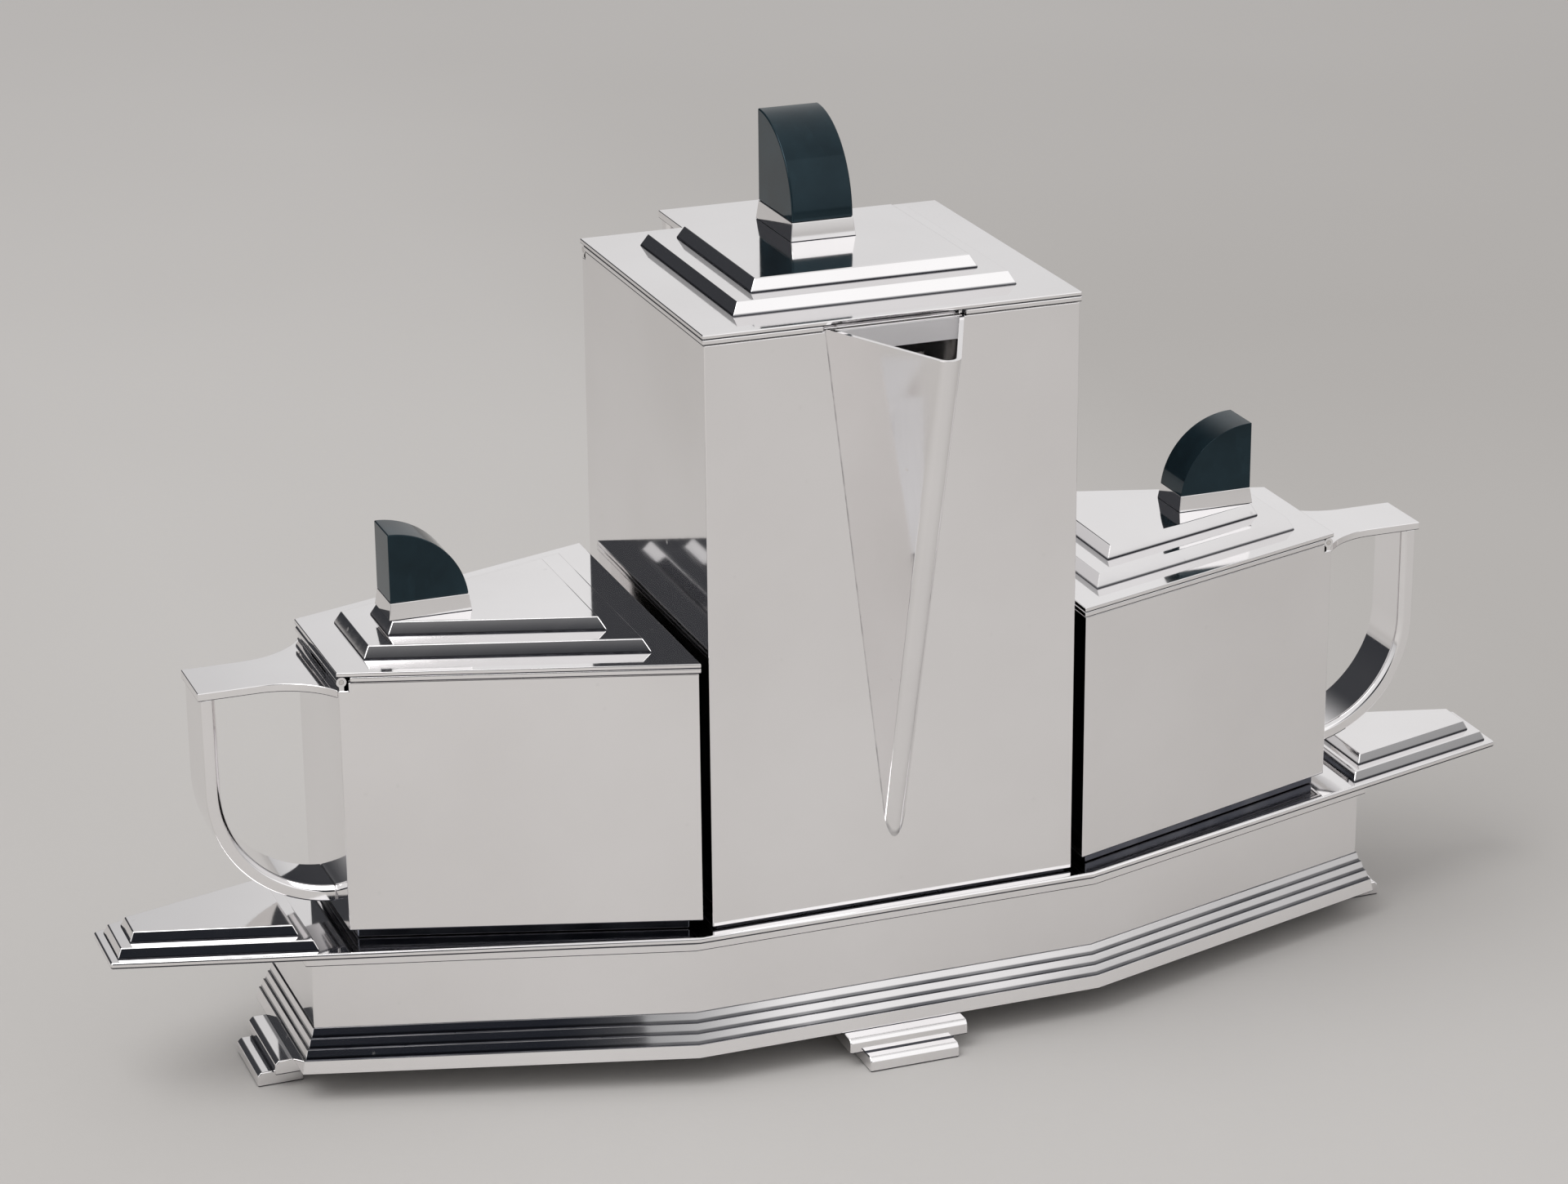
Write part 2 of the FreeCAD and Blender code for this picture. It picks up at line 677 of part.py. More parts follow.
# The lid frame is broken over the spout, to leave the pouring lip open.
front_wall = -pot_half_depth + lid_overhang
lip_gap = new_sketch(pot_frame, "lip_gap")
lip_gap_depth = body_wall + flange_clearance
draw(lip_gap, rectangle(-pot_half_depth, front_wall + lip_gap_depth, spout_half_chord + barrel_clearance))
cut_up(pot_frame, lip_gap, frame_height)

# Throat: an opening in the front wall, behind the spout.
throat_top = pot_body_height - throat_drop
throat = new_sketch(pot_shell, "throat", offset=throat_top - throat_height)
draw(throat, rectangle(-pot_half_depth, front_wall + body_wall * 2, throat_width / 2))
cut_up(pot_shell, throat, throat_height)

# Strainer: a pierced plate inside the throat.
strainer = pot.body("strainer", pot.body_bottom + throat_top - throat_height - strainer_lap)
strainer_face = front_wall + body_wall
plate_sketch = new_sketch(strainer, "plate")
strainer_half = throat_width / 2 + strainer_lap
draw(plate_sketch, rectangle(strainer_face, strainer_face + strainer_thickness, strainer_half))
pad(strainer, plate_sketch, throat_height + strainer_lap * 2)
hole_row = new_sketch(strainer, "hole_row", "YZ_Plane", strainer_face)
lowest_hole = strainer_lap + (throat_height - strainer_row_pitch * (strainer_rows - 1)) / 2
for column in (-1, 0, 1):
    draw_circle(hole_row, strainer_pitch * column, lowest_hole, strainer_hole_radius)
holes = cut_through(strainer, hole_row)
rows = strainer.newObject("PartDesign::LinearPattern", "strainer_rows")
rows.Originals = [holes]
rows.Direction = (origin_feature(strainer, "Z_Axis"), [""])
rows.setExpression("Length", (strainer_row_pitch * (strainer_rows - 1)).text)
rows.Occurrences = strainer_rows
strainer.Tip = rows


# Spout: a sheet folded to a V with a rounded nose, whose fold leans out from a point on the front wall.
spout = pot.body("spout", pot.body_top + spout_top_rise - spout_fold_height)
fold_length = root(spout_fold_reach * spout_fold_reach + spout_fold_height * spout_fold_height)
fold_depth = spout_fold_reach * spout_fold_height / fold_length
fold_slope = spout_half_chord / fold_depth
fold_secant = root(1 + fold_slope * fold_slope)
open_depth = fold_depth * 2


def fold_section(name, inset):
    """The V square to its fold, drawn in by inset, with its open side towards the pot."""
    sketch = new_sketch(spout, name)
    lean = math.degrees(math.atan2(spout_fold_reach.value, spout_fold_height.value))
    sketch.AttachmentOffset = Placement(Vector(front_wall.value, 0, 0), Rotation(Vector(0, 1, 0), -lean))
    sketch.setExpression("AttachmentOffset.Base.x", front_wall.text)
    sketch.setExpression(
        "AttachmentOffset.Rotation.Angle", f"-atan({spout_fold_reach.text} / {spout_fold_height.text})"
    )
    radius = spout_nose_radius - inset
    fold = inset * fold_secant / fold_slope
    centre = fold + radius * fold_secant / fold_slope
    touch = centre - radius * fold_slope / fold_secant
    touch_half = radius / fold_secant
    open_half = (open_depth - fold) * fold_slope
    corners = [(open_depth, -open_half), (open_depth, open_half), (touch, touch_half), (touch, -touch_half)]
    draw(sketch, corners, {2: (radius, (centre - radius, 0))})
    return sketch


pad(spout, fold_section("outside", as_size(0)), fold_length)
trim = new_sketch(spout, "trim", "XZ_Plane")
far_back = front_wall + fold_length
above = fold_length * 2
draw(trim, [(front_wall, -fold_length), (far_back, -fold_length), (far_back, above), (front_wall, above)])
cut_through(spout, trim)
lip = new_sketch(spout, "lip", offset=spout_fold_height)
draw(lip, rectangle(front_wall - fold_length, far_back, spout_half_chord * 2))
cut_up(spout, lip, fold_length)
cut_through(spout, fold_section("inside", spout_wall))

# Side vessels: the same drawing, turned half a turn for the left one.
vessel_plan = Plan(vessel_inner, vessel_inner_half, vessel_outer, vessel_outer_half)
for side, turn in (("left", 180), ("right", 0)):
    vessel = Vessel(side, turn, vessel_plan, vessel_reveal, vessel_base_inset, vessel_body_height)
    vessel_body(vessel)
    base = vessel_base(vessel)
    hollow = new_sketch(base, "foot_hollow")
    draw(hollow, vessel_plan.corners(lid_overhang + vessel_base_inset + vessel_foot_ring))
    cut_up(base, hollow, vessel_reveal)
    handle(
        vessel,
        vessel_handle_reach,
        vessel_handle_half,
        vessel_flare_half,
        vessel_strap_radius,
        vessel_strap_drop,
    )
    hinge(vessel)
    lid(
        vessel,
        vessel_lower_inset,
        vessel_upper_inset,
        vessel_knob_radius,
        vessel_knob_height,
        vessel_knob_width,
        vessel_mount_height,
    )

doc.recompute()
for item in doc.Objects:
    if "Invalid" in item.State or "Error" in item.State:
        raise ValueError(f"{item.Name} failed: {item.State}")
for body in subparts:
    if body.Shape.isNull() or not body.Shape.isValid() or not body.Shape.Solids:
        raise ValueError(f"{body.Label} has no valid solid")

os.makedirs("parts", exist_ok=True)
for body in subparts:
    body.Shape.exportStep(f"parts/{body.Label}.step")
print(len(subparts), "sub-parts, deck top", round(deck_top.value, 2))
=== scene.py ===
import json
import math

import bmesh
import bpy
from mathutils import Matrix, Vector
from mathutils.geometry import intersect_point_line


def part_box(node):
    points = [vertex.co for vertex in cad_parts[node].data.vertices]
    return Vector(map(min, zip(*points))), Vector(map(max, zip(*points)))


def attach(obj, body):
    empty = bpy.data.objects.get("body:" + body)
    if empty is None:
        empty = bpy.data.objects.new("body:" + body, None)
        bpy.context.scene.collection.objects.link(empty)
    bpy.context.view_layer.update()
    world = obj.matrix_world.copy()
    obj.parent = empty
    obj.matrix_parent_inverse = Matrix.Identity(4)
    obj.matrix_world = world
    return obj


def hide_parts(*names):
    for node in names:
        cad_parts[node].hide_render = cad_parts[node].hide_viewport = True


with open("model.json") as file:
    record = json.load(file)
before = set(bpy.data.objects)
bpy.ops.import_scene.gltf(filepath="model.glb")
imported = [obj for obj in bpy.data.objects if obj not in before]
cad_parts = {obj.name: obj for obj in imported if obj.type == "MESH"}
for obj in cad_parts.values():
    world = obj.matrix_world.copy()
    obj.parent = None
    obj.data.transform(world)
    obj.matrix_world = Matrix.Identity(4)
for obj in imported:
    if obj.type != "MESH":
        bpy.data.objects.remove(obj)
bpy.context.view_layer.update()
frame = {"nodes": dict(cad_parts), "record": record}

# Plinth wall: one strip of silver sheet folded to a long octagon and soldered at its seam.
# It is polished by hand to a mirror, which leaves a slow waver, faint hairlines and a few pits,
# and eases every fold and cut edge by a few tenths of a millimetre.


class Signal:
    """One socket of a node tree, with the arithmetic that the finishes use."""

    def __init__(self, tree, socket):
        self.tree = tree
        self.socket = socket

    def node(self, kind, settings, inputs, output=0):
        """Add any node: its settings first, then a value or a link for each socket."""
        made = self.tree.nodes.new(kind)
        for key, value in settings.items():
            setattr(made, key, value)
        for key, value in inputs.items():
            if isinstance(value, Signal):
                self.tree.links.new(value.socket, made.inputs[key])
            else:
                made.inputs[key].default_value = value
        return Signal(self.tree, made.outputs[output])

    def maths(self, operation, first, second):
        return self.node("ShaderNodeMath", {"operation": operation}, {0: first, 1: second})

    def __add__(self, other):
        return self.maths("ADD", self, other)

    def __radd__(self, other):
        return self.maths("ADD", other, self)

    def __sub__(self, other):
        return self.maths("SUBTRACT", self, other)

    def __rsub__(self, other):
        return self.maths("SUBTRACT", other, self)

    def __mul__(self, other):
        return self.maths("MULTIPLY", self, other)

    def __rmul__(self, other):
        return self.maths("MULTIPLY", other, self)

    def spread(self, low, high, bottom, top):
        """Stretch low..high of this value to bottom..top, and hold it there outside."""
        return self.node("ShaderNodeMapRange", {"clamp": True}, {0: self, 1: low, 2: high, 3: bottom, 4: top})

    def between(self, dark, pale):
        """A colour that runs from dark to pale as this value runs from 0 to 1."""
        mix = {"data_type": "RGBA"}
        return self.node("ShaderNodeMix", mix, {0: self, 6: (*dark, 1), 7: (*pale, 1)}, 2)

    def along(self, axis):
        """One coordinate of this place: 0 across, 1 front to back, 2 height."""
        return self.node("ShaderNodeSeparateXYZ", {}, {0: self}, axis)

    def drive(self, shader, socket_name):
        """Feed this value or colour to a socket of a shader."""
        self.tree.links.new(self.socket, shader.inputs[socket_name])

    def noise(self, scale, detail, stretch=(1, 1, 1)):
        """Noise on this coordinate; stretch scales the pattern along each axis."""
        place = self.node("ShaderNodeMapping", {}, {0: self, 3: stretch})
        return self.node("ShaderNodeTexNoise", {}, {"Vector": place, "Scale": scale, "Detail": detail})


def start_finish(name):
    """A material with a Principled shader, and its Object coordinate."""
    finish = bpy.data.materials.new(name)
    finish.use_nodes = True
    tree = finish.node_tree
    shader = tree.nodes["Principled BSDF"]
    coordinate = tree.nodes.new("ShaderNodeTexCoord")
    return finish, shader, Signal(tree, coordinate.outputs["Object"])


def polished_silver(name, hairlines, waver, unpolished=None, tarnished=None):
    """Mirror-polished silver: hairlines gives the strokes' stretch, waver the unevenness in metres.
    Unpolished takes the place on the piece and gives 1 where no buff could reach, and the
    darkening mask gives 1 where it is painted dark: solder tarnish, or painted shade in a corner."""
    finish, shader, place = start_finish(name)
    haze = place.noise(16, 6).spread(0.35, 0.7, 0, 1)
    stroke = place.noise(1, 3, hairlines).spread(0.45, 0.75, 0, 1)
    pit = place.node("ShaderNodeTexVoronoi", {"feature": "F1"}, {"Vector": place, "Scale": 95.0})
    pit = pit.spread(0.03, 0.07, 1, 0)
    swell = place.noise(13, 1)
    colour = (haze * 0.7 + pit * 0.3).between((0.95, 0.94, 0.945), (0.87, 0.855, 0.855))
    # Painted shade at step roots and tier feet, and tarnish at the spout's solder, darken the colour here.
    if tarnished:
        gone_dark = {0: tarnished(place), 6: colour, 7: (0.06, 0.063, 0.075, 1)}
        colour = place.node("ShaderNodeMix", {"data_type": "RGBA"}, gone_dark, 2)
    colour.drive(shader, "Base Color")
    roughness = haze * 0.035 + stroke * 0.02 + pit * 0.15 + 0.045
    if unpolished:
        roughness = roughness + unpolished(place) * 0.7
    roughness.drive(shader, "Roughness")
    height = swell + stroke * 0.006 - pit * 0.02
    bump = place.node("ShaderNodeBump", {}, {"Strength": 1.0, "Distance": waver, "Height": height})
    bump.drive(shader, "Normal")
    shader.inputs["Metallic"].default_value = 1
    return finish


# Crevice shade: a near-black silver painted on rounded inner corners and on the edges a piece sits on, as
# painted shade.
crevice_tarnish, tarnish_shader, tarnish_place = start_finish("crevice_tarnish")
sulphide = tarnish_place.noise(300, 4)
tarnish_colour = sulphide.between((0.03, 0.032, 0.042), (0.13, 0.13, 0.145))
tarnish_colour.drive(tarnish_shader, "Base Color")
sulphide.spread(0.3, 0.7, 0.25, 0.5).drive(tarnish_shader, "Roughness")
tarnish_shader.inputs["Metallic"].default_value = 1


def eased(node, finish, edge_round, slot="polished_silver", segments=3, sharpest=20, ring=False, lining=None):
    """Stand a copy of a solid in its place, with its sharp edges rounded as polishing leaves them.
    Its rounded inner corners and the edges that it is seated on get a line of painted shade.
    A lining goes on the upright faces that look towards the middle of the piece."""
    mesh = frame["nodes"][node].data.copy()
    mesh.name = f"{node}_finished"
    shape = bmesh.new()
    shape.from_mesh(mesh)
    weld = 1e-6
    flatness = math.radians(0.3)
    downward, upright = -0.9, 0.5
    bmesh.ops.remove_doubles(shape, verts=shape.verts, dist=weld)
    if ring:
        bmesh.ops.join_triangles(
            shape, faces=shape.faces, angle_face_threshold=flatness, angle_shape_threshold=math.pi
        )
    else:
        bmesh.ops.dissolve_limit(shape, angle_limit=flatness, verts=shape.verts, edges=shape.edges)
    limit = math.radians(sharpest)
    edges = [edge for edge in shape.edges if edge.is_manifold and edge.calc_face_angle() > limit]
    shape.normal_update()
    crevices = [
        [vert.co.copy() for vert in edge.verts]
        for edge in edges
        if not edge.is_convex or min(face.normal.z for face in edge.link_faces) < downward
    ]
    rounded = bmesh.ops.bevel(
        shape,
        geom=edges,
        offset=edge_round,
        offset_type="OFFSET",
        affect="EDGES",
        segments=segments,
        profile=0.5,
        material=-1,
        clamp_overlap=True,
    )["faces"]
    shape.normal_update()
    layers = [finish]
    if slot == "polished_silver":
        layers.append(crevice_tarnish)
    else:
        crevices = []
    if lining:
        layers.append(lining)
    low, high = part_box(node)
    middle = (Vector(low) + Vector(high)) / 2
    for face in shape.faces:
        face.smooth = True
        face.material_index = 0
        outward = face.calc_center_median() - middle
        outward.z = 0
        if lining and abs(face.normal.z) < upright and face.normal.dot(outward) < 0:
            face.material_index = layers.index(lining)
    # Rounded faces along inner corners and seated edges take the painted shade.
    for face in rounded:
        centre = face.calc_center_median()
        for start, end in crevices:
            nearest, share = intersect_point_line(centre, start, end)
            if 0 <= share <= 1 and (nearest - centre).length < edge_round:
                face.material_index = layers.index(crevice_tarnish)
    mesh.materials.clear()
    for layer in layers:
        mesh.materials.append(layer)
    shape.to_mesh(mesh)
    shape.free()
    piece = bpy.data.objects.new(f"{node}_finished", mesh)
    bpy.context.scene.collection.objects.link(piece)
    flat = piece.modifiers.new("flat_faces", "WEIGHTED_NORMAL")
    flat.weight = 100
    body = next(name for name, nodes in frame["record"]["behaviour"]["bodies"].items() if node in nodes)
    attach(piece, body)
    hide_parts(node)


sheet_polish = {"hairlines": (60, 60, 900), "waver": 0.00012}
sheet_silver = polished_silver("sheet_silver", **sheet_polish)
crisp_edge = 0.0003
eased("stand_wall", sheet_silver, crisp_edge, ring=True)

# Base moulding: drawn silver strip with a broad rib and three bevelled steps, mitred at the eight
# corners and soldered round the foot of the wall. The cornice is a second strip at the wall's top.
# Both were polished along their length, so the hairlines run level. The steps' roots are painted dark as
# shade.
strip_polish = {"hairlines": (50, 50, 1400), "waver": 0.00006}
strip_silver = polished_silver("strip_silver", **strip_polish)
step_count, step_height = 3, 0.0025
below_tread = 0.0001
rib_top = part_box("base_moulding")[1][2] - step_count * step_height - below_tread
dark_share, clear_share = 0.28, 0.42


def step_roots(place):
    """Near 1 in the inner corner of each step and on the lower part of the riser above it, where shade is
    painted.
    """
    level = place.along(2) - rib_top
    rise = place.maths("FRACT", level * (1 / step_height), 0)
    film = place.noise(60, 3).spread(0.3, 0.7, 0.65, 0.9)
    return rise.spread(dark_share, clear_share, 1, 0) * place.maths("GREATER_THAN", level, 0) * film


step_silver = polished_silver("step_silver", **strip_polish, tarnished=step_roots)
drawn_edge = 0.00025
eased("base_moulding", step_silver, drawn_edge, ring=True)
eased("stand_cornice", strip_silver, crisp_edge, ring=True)

# Deck: one flat plate of silver with a rolled edge, cut to a boat shape,
# that closes the plinth and runs out past it in two wings.
# Lifting the vessels on and off has given it the most strokes of the set.
plate_polish = {"hairlines": (30, 700, 30), "waver": 0.00008}
plate_silver = polished_silver("plate_silver", **plate_polish)
rolled_edge = 0.0006
eased("stand_deck", plate_silver, rolled_edge)

# Wing pads: two bevelled tiers on each wing, raised from sheet
# and soldered to the deck, with crisp mitres at their corners
# and a hair of painted shade along the joint.
seat_dark, seat_clear = 0.00025, 0.00055


def seated_silver(node, polish):
    """Polished silver with shade painted dark along the foot of the piece."""
    foot = min(vert.co.z for vert in frame["nodes"][node].data.vertices)

    def seat(place):
        return place.along(2).spread(foot + seat_dark, foot + seat_clear, 0.85, 0)

    return polished_silver(f"{node}_silver", **polish, tarnished=seat)


for side in ("left", "right"):
    for tier in ("lower", "upper"):
        # Each pad tier is painted dark along its foot as shade.
        pad_silver = seated_silver(f"{side}_pad_{tier}", plate_polish)
        eased(f"{side}_pad_{tier}", pad_silver, crisp_edge)

# Feet: a pair of stepped bars under each end and the middle of each side,
# cast, filed to a bevel on their top edge and soldered under the rib.
filed_edge = 0.0004
for side in ("left", "right", "front", "back"):
    eased(f"{side}_foot", strip_silver, filed_edge)

# Bodies and floors: walls of silver sheet folded to the plan, soldered up one corner, with a floor
# let in on a set-back foot. They are flat mirrors outside and white from the pickling bath inside,
# and the set-back foot below the wall is painted near-black as shade.
pickled_silver, pickled_shader, pickled_place = start_finish("pickled_silver")
bloom = pickled_place.noise(45, 5)
grain = pickled_place.noise(1800, 2)
pickled_colour = bloom.between((0.84, 0.82, 0.79), (0.96, 0.95, 0.93))
pickled_colour.drive(pickled_shader, "Base Color")
bloom.spread(0.3, 0.7, 0.5, 0.7).drive(pickled_shader, "Roughness")
frosting = pickled_place.node("ShaderNodeBump", {}, {"Strength": 0.3, "Distance": 0.0001, "Height": grain})
frosting.drive(pickled_shader, "Normal")
pickled_shader.inputs["Metallic"].default_value = 1


def behind_spout(place):
    """1 on the strip of the front wall just inside the spout's mouth, which the soldering left white."""
    height = place.along(2)
    half_width = height.spread(spout_tip, spout_lip, 0, spout_half_width)
    covered = place.maths("LESS_THAN", place.maths("ABSOLUTE", place.along(0), 0), half_width)
    near_lip = place.maths("GREATER_THAN", height, spout_lip - white_strip)
    return covered * near_lip * place.maths("LESS_THAN", place.along(1), front_wall)


spout_low, spout_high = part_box("pot_spout")
spout_tip, spout_lip, spout_half_width = spout_low[2], spout_high[2], spout_high[0]
white_strip = 0.0065
front_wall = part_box("pot_body")[0][1] + crisp_edge
pot_silver = polished_silver("pot_silver", **sheet_polish, unpolished=behind_spout)
tarnish_fade = 0.0002
for vessel, outside in (("pot", pot_silver), ("left", sheet_silver), ("right", sheet_silver)):
    eased(f"{vessel}_body", outside, crisp_edge, ring=True, lining=pickled_silver)
    foot_silver, foot_shader, foot_place = start_finish(f"{vessel}_foot_silver")
    wall_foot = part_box(f"{vessel}_body")[0][2]
    # The foot below the wall is painted near-black as shade.
    tarnish = foot_place.along(2).spread(wall_foot - tarnish_fade, wall_foot + tarnish_fade, 1, 0)
    film = foot_place.noise(120, 4)
    foot_colour = (1 - tarnish * (0.9 + film * 0.1)).between((0.05, 0.055, 0.075), (0.93, 0.92, 0.9))
    foot_colour.drive(foot_shader, "Base Color")
    foot_roughness = film.spread(0.3, 0.7, 0.4, 0.55) - tarnish * 0.3
    foot_roughness.drive(foot_shader, "Roughness")
    foot_shader.inputs["Metallic"].default_value = 1
    eased(f"{vessel}_base", foot_silver, crisp_edge, ring=True)

# Spout: a sheet of silver folded to a V round a slim mandrel, with a hollow rounded nose,
# soldered to the front wall over a pierced throat. Its fold wavers a little under the polish,
# and tarnish draws the line of the solder.
solder_clear, solder_dark = 0.0009, 0.0006


def solder_line(place):
    """Broken marks of up to a half where the spout meets the front wall."""
    film = place.noise(220, 2).spread(0.35, 0.65, 0.15, 0.5)
    return place.along(1).spread(front_wall - solder_clear, front_wall - solder_dark, 0, 1) * film


spout_polish = {"hairlines": (700, 700, 40), "waver": 0.0002}
spout_silver = polished_silver("spout_silver", **spout_polish, tarnished=solder_line)
eased("pot_spout", spout_silver, drawn_edge, sharpest=35)

# Strainer: a small plate pierced with rows of holes, soldered inside the throat.
# It is never polished, so it keeps the grey of the soldering bath.
strainer_grey, strainer_shader, strainer_place = start_finish("strainer_grey")
cloud = strainer_place.noise(60, 5)
stain = cloud.between((0.62, 0.6, 0.57), (0.82, 0.8, 0.77))
stain.drive(strainer_shader, "Base Color")
cloud.spread(0.3, 0.7, 0.22, 0.4).drive(strainer_shader, "Roughness")
strainer_shader.inputs["Metallic"].default_value = 1


def finish_solid(node, finish):
    """Give a solid that stays as it is a finish of its own."""
    for slot in frame["nodes"][node].material_slots:
        slot.material = finish


finish_solid("pot_strainer", strainer_grey)

# Handles: a flat top plate that flares to the wall, over a flat strap bent back into the wall.
# The strap's inner edges are filed to a bevel, and hands have kept the grip bright.
handle_silver = polished_silver("handle_silver", hairlines=(300, 300, 300), waver=0.00009)
for vessel in ("pot", "left", "right"):
    eased(f"{vessel}_handle_plate", handle_silver, filed_edge, sharpest=25)
    eased(f"{vessel}_handle_strap", handle_silver, filed_edge, sharpest=25)

# Hinges: drawn silver tube cut into knuckles, set by turns on the body and on the lid,
# with a hard pin through them all.
pin_silver, pin_shader, pin_place = start_finish("pin_silver")
turned = pin_place.noise(900, 2)
pin_shade = turned.between((0.68, 0.66, 0.64), (0.8, 0.78, 0.76))
pin_shade.drive(pin_shader, "Base Color")
turned.spread(0.3, 0.7, 0.16, 0.32).drive(pin_shader, "Roughness")
pin_shader.inputs["Metallic"].default_value = 1
for vessel in ("pot", "left", "right"):
    finish_solid(f"{vessel}_hinge_knuckles", handle_silver)
    finish_solid(f"{vessel}_lid_knuckles", handle_silver)
    finish_solid(f"{vessel}_hinge_pin", pin_silver)

# Lids: a plate on a flanged frame, with two bevelled tiers raised from sheet on top of it.
# The bevels are mitred, and their edges are the crispest of the set.
lid_polish = {"hairlines": (40, 600, 40), "waver": 0.00008}
lid_silver = polished_silver("lid_silver", **lid_polish)
for vessel in ("pot", "left", "right"):
    eased(f"{vessel}_lid_plate", lid_silver, crisp_edge)
    eased(f"{vessel}_lid_frame", lid_silver, crisp_edge, ring=True)
    for tier in ("lower", "upper"):
        # Each lid tier is painted dark along its foot as shade.
        tier_silver = seated_silver(f"{vessel}_lid_{tier}_tier", lid_polish)
        eased(f"{vessel}_lid_{tier}_tier", tier_silver, crisp_edge)

# Knob mounts: a small tapering block of silver under each knob.
# A screw passes through it from a six-sided nut under the lid.
for vessel in ("pot", "left", "right"):
    eased(f"{vessel}_knob_mount", lid_silver, crisp_edge)
    finish_solid(f"{vessel}_knob_screw", pin_silver)

# Knobs: quarter rounds of a hard blue-black stone, sawn, ground and polished,
# with the edges just broken. Faint clouds and veins show where light strikes along it.
knob_stone, stone_shader, stone_place = start_finish("knob_stone")
clouds = stone_place.noise(70, 5).spread(0.35, 0.75, 0, 1)
veins = stone_place.noise(1, 4, (260, 120, 90)).spread(0.6, 0.75, 0, 1)
stone_colour = (clouds * 0.7 + veins * 0.3).between((0.004, 0.009, 0.012), (0.012, 0.026, 0.034))
stone_colour.drive(stone_shader, "Base Color")
(clouds * 0.05 + veins * 0.03 + 0.06).drive(stone_shader, "Roughness")
stone_shader.inputs["IOR"].default_value = 1.4
stone_shader.inputs["Specular Tint"].default_value = (0.6, 0.85, 1, 1)
broken_edge = 0.0007
for vessel in ("pot", "left", "right"):
    eased(f"{vessel}_knob", knob_stone, broken_edge, slot="dark_knob", segments=4, sharpest=25)

# Floor: a broad sheet of warm grey paper that the set stands on,
# with the faint tooth of the paper. It is painted a little darker to either side, as shade.
floor_half = 8.0
sheet = bmesh.new()
bmesh.ops.create_grid(sheet, x_segments=1, y_segments=1, size=floor_half)
floor_mesh = bpy.data.meshes.new("floor")
sheet.to_mesh(floor_mesh)
sheet.free()
paper, paper_shader, paper_place = start_finish("paper")
tooth = paper_place.noise(400, 4)
grey_sides, grey_front, grey_back = (0.1, 0.3), (-0.3, 0), (0.5, 1.2)
grey_depth = 0.67
back = paper_place.along(1)
aside = paper_place.maths("ABSOLUTE", paper_place.along(0), 0).spread(*grey_sides, 0, 1)
# The paper is painted darker to either side as shade.
greyed = aside * back.spread(*grey_front, 0, grey_depth) * back.spread(*grey_back, 1, 0)
paper_tone = paper_place.noise(3, 2) * 0.4 + 0.6 - greyed
paper_colour = paper_tone.between((0.435, 0.42, 0.404), (0.535, 0.521, 0.507))
paper_colour.drive(paper_shader, "Base Color")
paper_bump = paper_place.node("ShaderNodeBump", {}, {"Strength": 0.15, "Distance": 0.0003, "Height": tooth})
paper_bump.drive(paper_shader, "Normal")
paper_shader.inputs["Roughness"].default_value = 0.9
paper_shader.inputs["Specular IOR Level"].default_value = 0.2
floor_mesh.materials.append(paper)
floor = bpy.data.objects.new("floor", floor_mesh)
bpy.context.scene.collection.objects.link(floor)

# Studio: pale walls all round, with the room left dark behind the set to its left, beside the
# camera and, less so, at the right. A broad soft lamp hangs above and to the left, and a larger,
# weaker one stands in front to the right.
world = bpy.data.worlds.new("studio")
bpy.context.scene.world = world
world.use_nodes = True
backdrop = world.node_tree.nodes["Background"]
path = world.node_tree.nodes.new("ShaderNodeLightPath")
direction = world.node_tree.nodes.new("ShaderNodeTexCoord")
look = Signal(world.node_tree, direction.outputs["Generated"])
seen_in_silver = Signal(world.node_tree, path.outputs["Is Glossy Ray"])
lit = look.along(2).spread(0, 0.35, 0.68, 1)
dark_corners = (
    ((-0.45, 0.85, 0.27), 0.715, 0.95, 0.96),
    ((-0.25, -0.92, 0.3), 0.87, 0.97, 1.0),
    ((0.81, -0.53, 0.21), 0.981, 0.9893, 0.55),
)
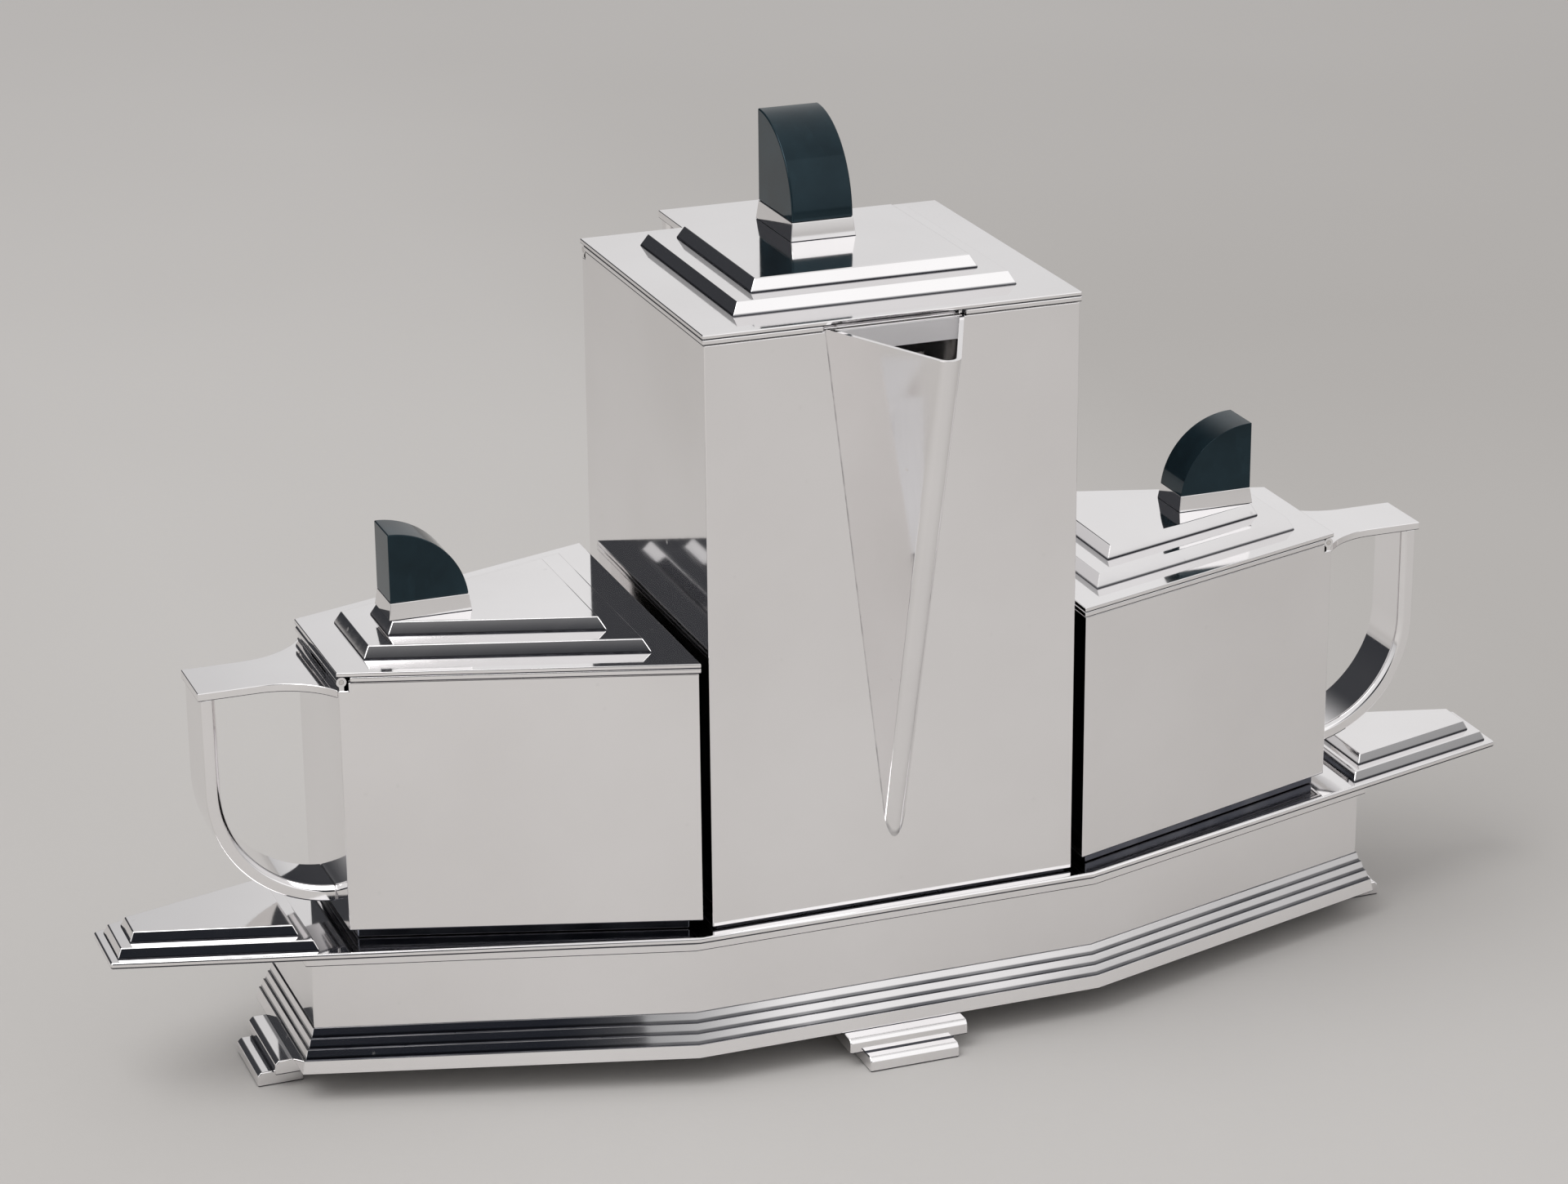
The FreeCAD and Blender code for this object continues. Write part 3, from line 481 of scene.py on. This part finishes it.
for dark_corner, rim, core, depth in dark_corners:
    toward = Vector(dark_corner).normalized()
    facing = look.node("ShaderNodeVectorMath", {"operation": "DOT_PRODUCT"}, {0: look, 1: toward}, 1)
    soft = {"interpolation_type": "SMOOTHSTEP"}
    corner = look.node("ShaderNodeMapRange", soft, {0: facing, 1: rim, 2: core, 3: 0, 4: 1})
    lit = lit * (1 - corner * depth * seen_in_silver)
walls = lit.between((0.016, 0.018, 0.024), (0.9, 0.89, 0.89))
walls.drive(backdrop, "Color")
backdrop.inputs["Strength"].default_value = 0.87
lamps = (
    ("key", (-0.9, -0.3, 1.5), 1.2, 13),
    ("fill", (0.66, -1.46, 1.0), 2.0, 3.2),
)
lit_point = Vector((0, 0, 0.1))
for name, place, width, power in lamps:
    lamp = bpy.data.lights.new(name, "AREA")
    lamp.size = width
    lamp.energy = power
    holder = bpy.data.objects.new(name, lamp)
    bpy.context.scene.collection.objects.link(holder)
    aim = lit_point - Vector(place)
    holder.matrix_world = Matrix.Translation(place) @ aim.to_track_quat("-Z", "Y").to_matrix().to_4x4()

# Camera: a long lens to the left of the spout, looking down on the lids,
# with a slight roll. It stands about a metre from the set.
eye = Vector((-0.3754, -0.9689, 0.4928))
yaw = math.radians(-20.56)
pitch = math.radians(20.28)
roll = math.radians(-0.53)
level_right = Vector((math.cos(yaw), math.sin(yaw), 0))
ahead = Vector((-math.sin(yaw) * math.cos(pitch), math.cos(yaw) * math.cos(pitch), -math.sin(pitch)))
level_up = level_right.cross(ahead)
right = math.cos(roll) * level_right + math.sin(roll) * level_up
up = math.cos(roll) * level_up - math.sin(roll) * level_right
view = bpy.data.cameras.new("view")
view.sensor_fit = "HORIZONTAL"
view.sensor_width = 36
view.lens = 97.44
camera = bpy.data.objects.new("view", view)
bpy.context.scene.collection.objects.link(camera)
camera.matrix_world = Matrix.Translation(eye) @ Matrix((right, up, -ahead)).transposed().to_4x4()
bpy.context.scene.camera = camera
bpy.context.scene.view_settings.view_transform = "Standard"
